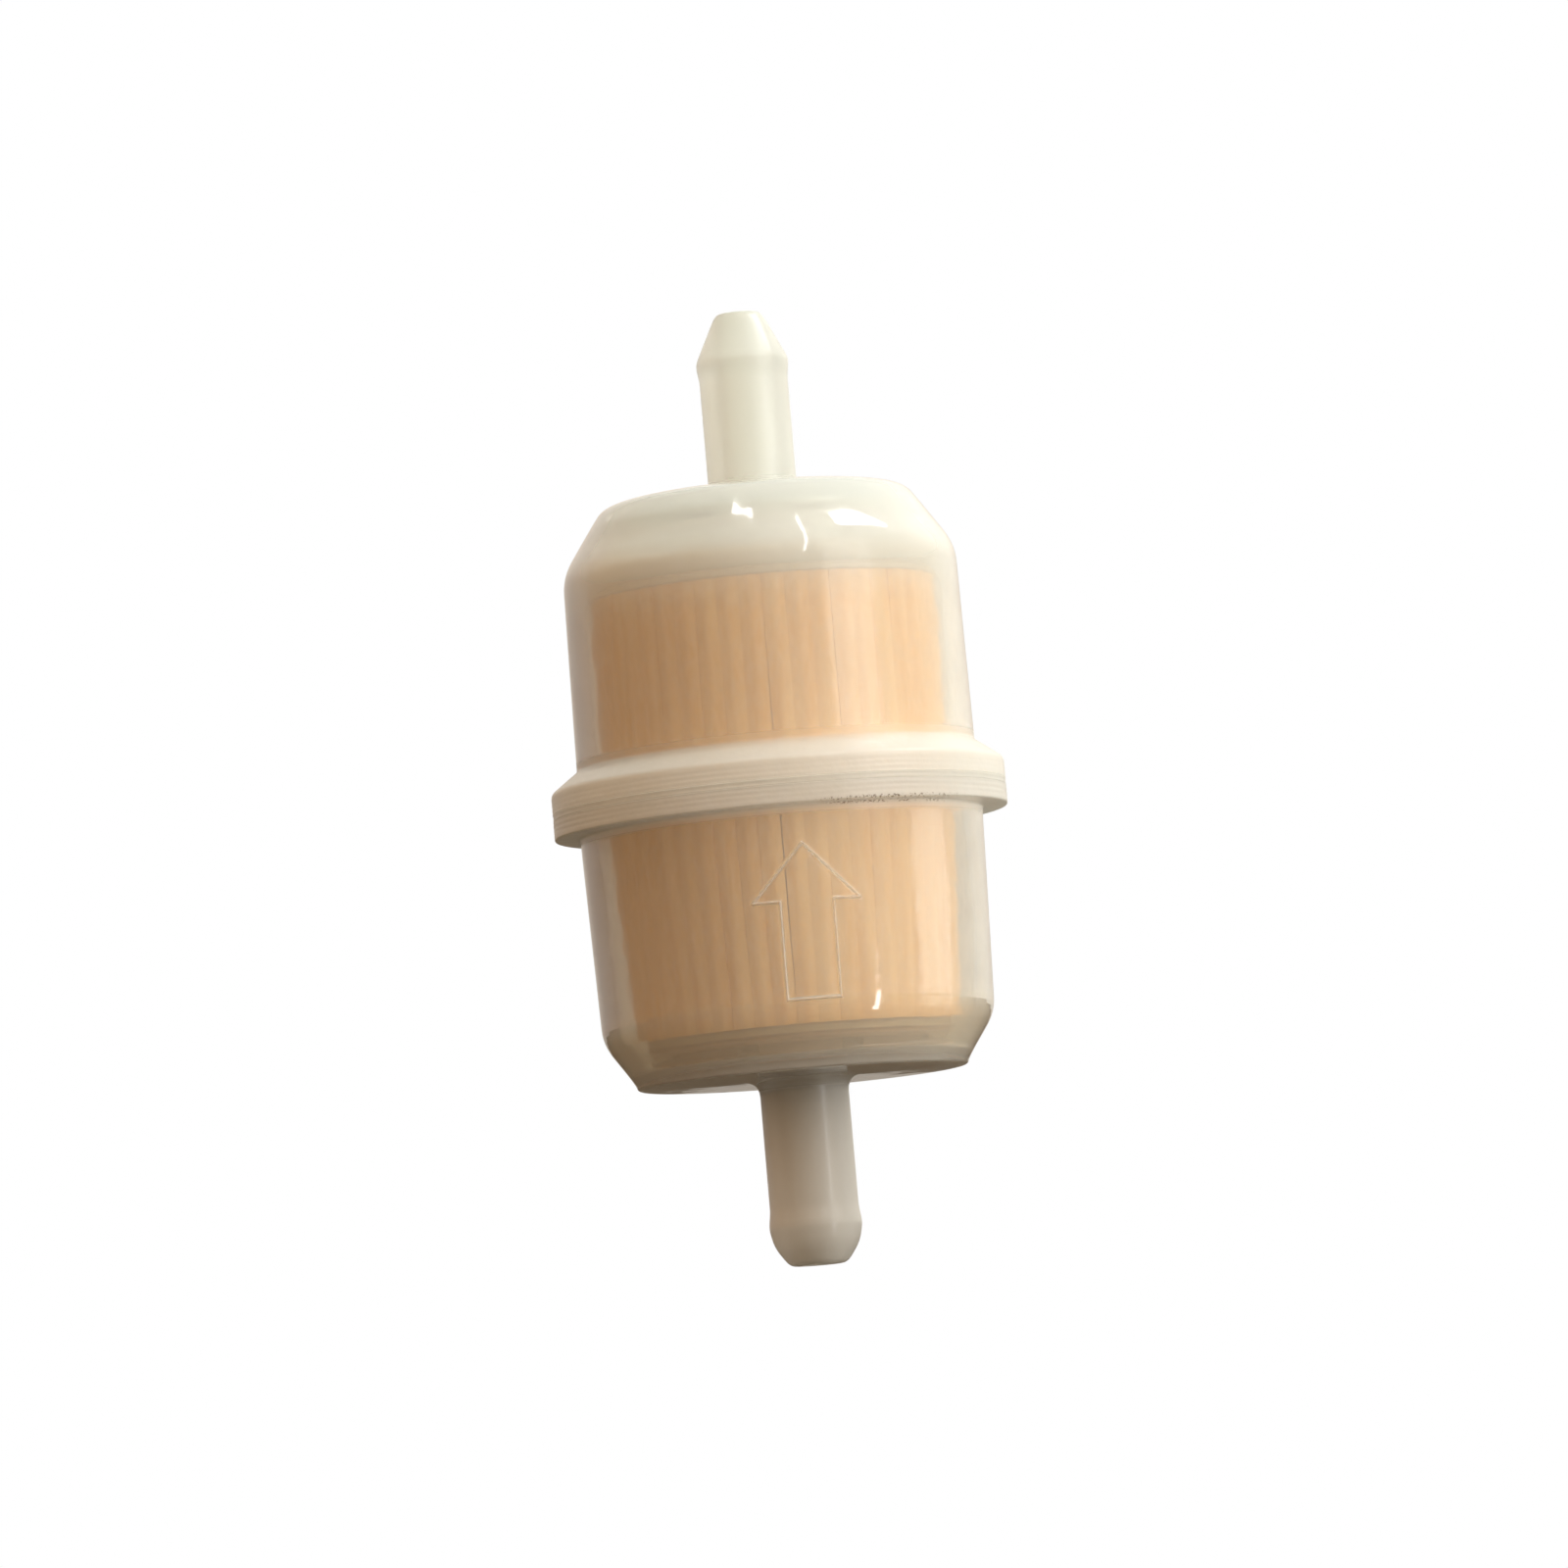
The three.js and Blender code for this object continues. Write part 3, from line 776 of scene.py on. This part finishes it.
# azimuth and elevation in degrees, distance and size in metres, power in watts
area_light("key", 56, 20, 0.9, (0.5, 0.5), 2.6, (1.0, 0.97, 0.95), seen_in_gloss=False)
area_light("window", 95, 52, 0.6, (0.26, 0.07), 0.55, spin=-42, lights_up=False)
area_light("ceiling_strip", -18, 74, 0.8, (0.12, 0.02), 0.07, lights_up=False)
area_light("standing_strip", 34, 42, 0.8, (0.02, 0.85), 0.4, spin=-14, lights_up=False)
area_light("low_fill", 96, -16, 0.3, (0.15, 0.15), 0.27, (0.95, 0.98, 1.0), seen_in_gloss=False)
area_light("low_glint", 48, -16.6, 0.22, (0.012, 0.10), 0.034, lights_up=False)

clear_nylon = nylon()
outlet_housing(clear_nylon)
inlet_housing(clear_nylon)
weld_bead(clear_nylon)
pleated_paper(paper())

cap = plain("end_cap", (0.62, 0.60, 0.50), (0.68, 0.66, 0.56), 0.5)
foot = plain("end_cap_brown", (0.34, 0.20, 0.10), (0.42, 0.26, 0.14), 0.5)
glue = plain("adhesive", (0.60, 0.50, 0.34), (0.68, 0.58, 0.42), 0.45)
core = plain("core_plastic", (0.75, 0.73, 0.66), (0.8, 0.78, 0.7), 0.5)
rubber = plain("rubber", (0.035, 0.033, 0.03), (0.06, 0.057, 0.052), 0.7, 900.0)
paper_seam(glue)
small_ring("outlet_end_cap", [
    (NECK_INNER, CAP_FOOT, 0.1), (CAP_RADIUS, CAP_FOOT, 0.1), (CAP_RADIUS, CAP_TOP, 0.4),
    (NECK_OUTER, CAP_TOP, 0.3), (NECK_OUTER, NECK_TOP, 0.2), (NECK_INNER, NECK_TOP, 0.1),
], cap)
small_ring("outlet_adhesive", [
    (GLUE_INNER, PAPER_TOP, 0.15), (PAPER_RADIUS, PAPER_TOP, 0.25),
    (PAPER_RADIUS, CAP_FOOT, 0), (GLUE_INNER, CAP_FOOT, 0),
], glue)
small_ring("inlet_adhesive", [
    (GLUE_INNER, DISC_TOP, 0), (DISC_RADIUS, DISC_TOP, 0),
    (DISC_RADIUS, PAPER_FOOT, 0.2), (GLUE_INNER, PAPER_FOOT, 0.15),
], glue)
seal_ring(rubber)
for node_name, finish in (("centre_tube", core), ("inlet_end_cap", foot)):
    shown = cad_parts[node_name]
    shown.data.materials.clear()
    shown.data.materials.append(finish)
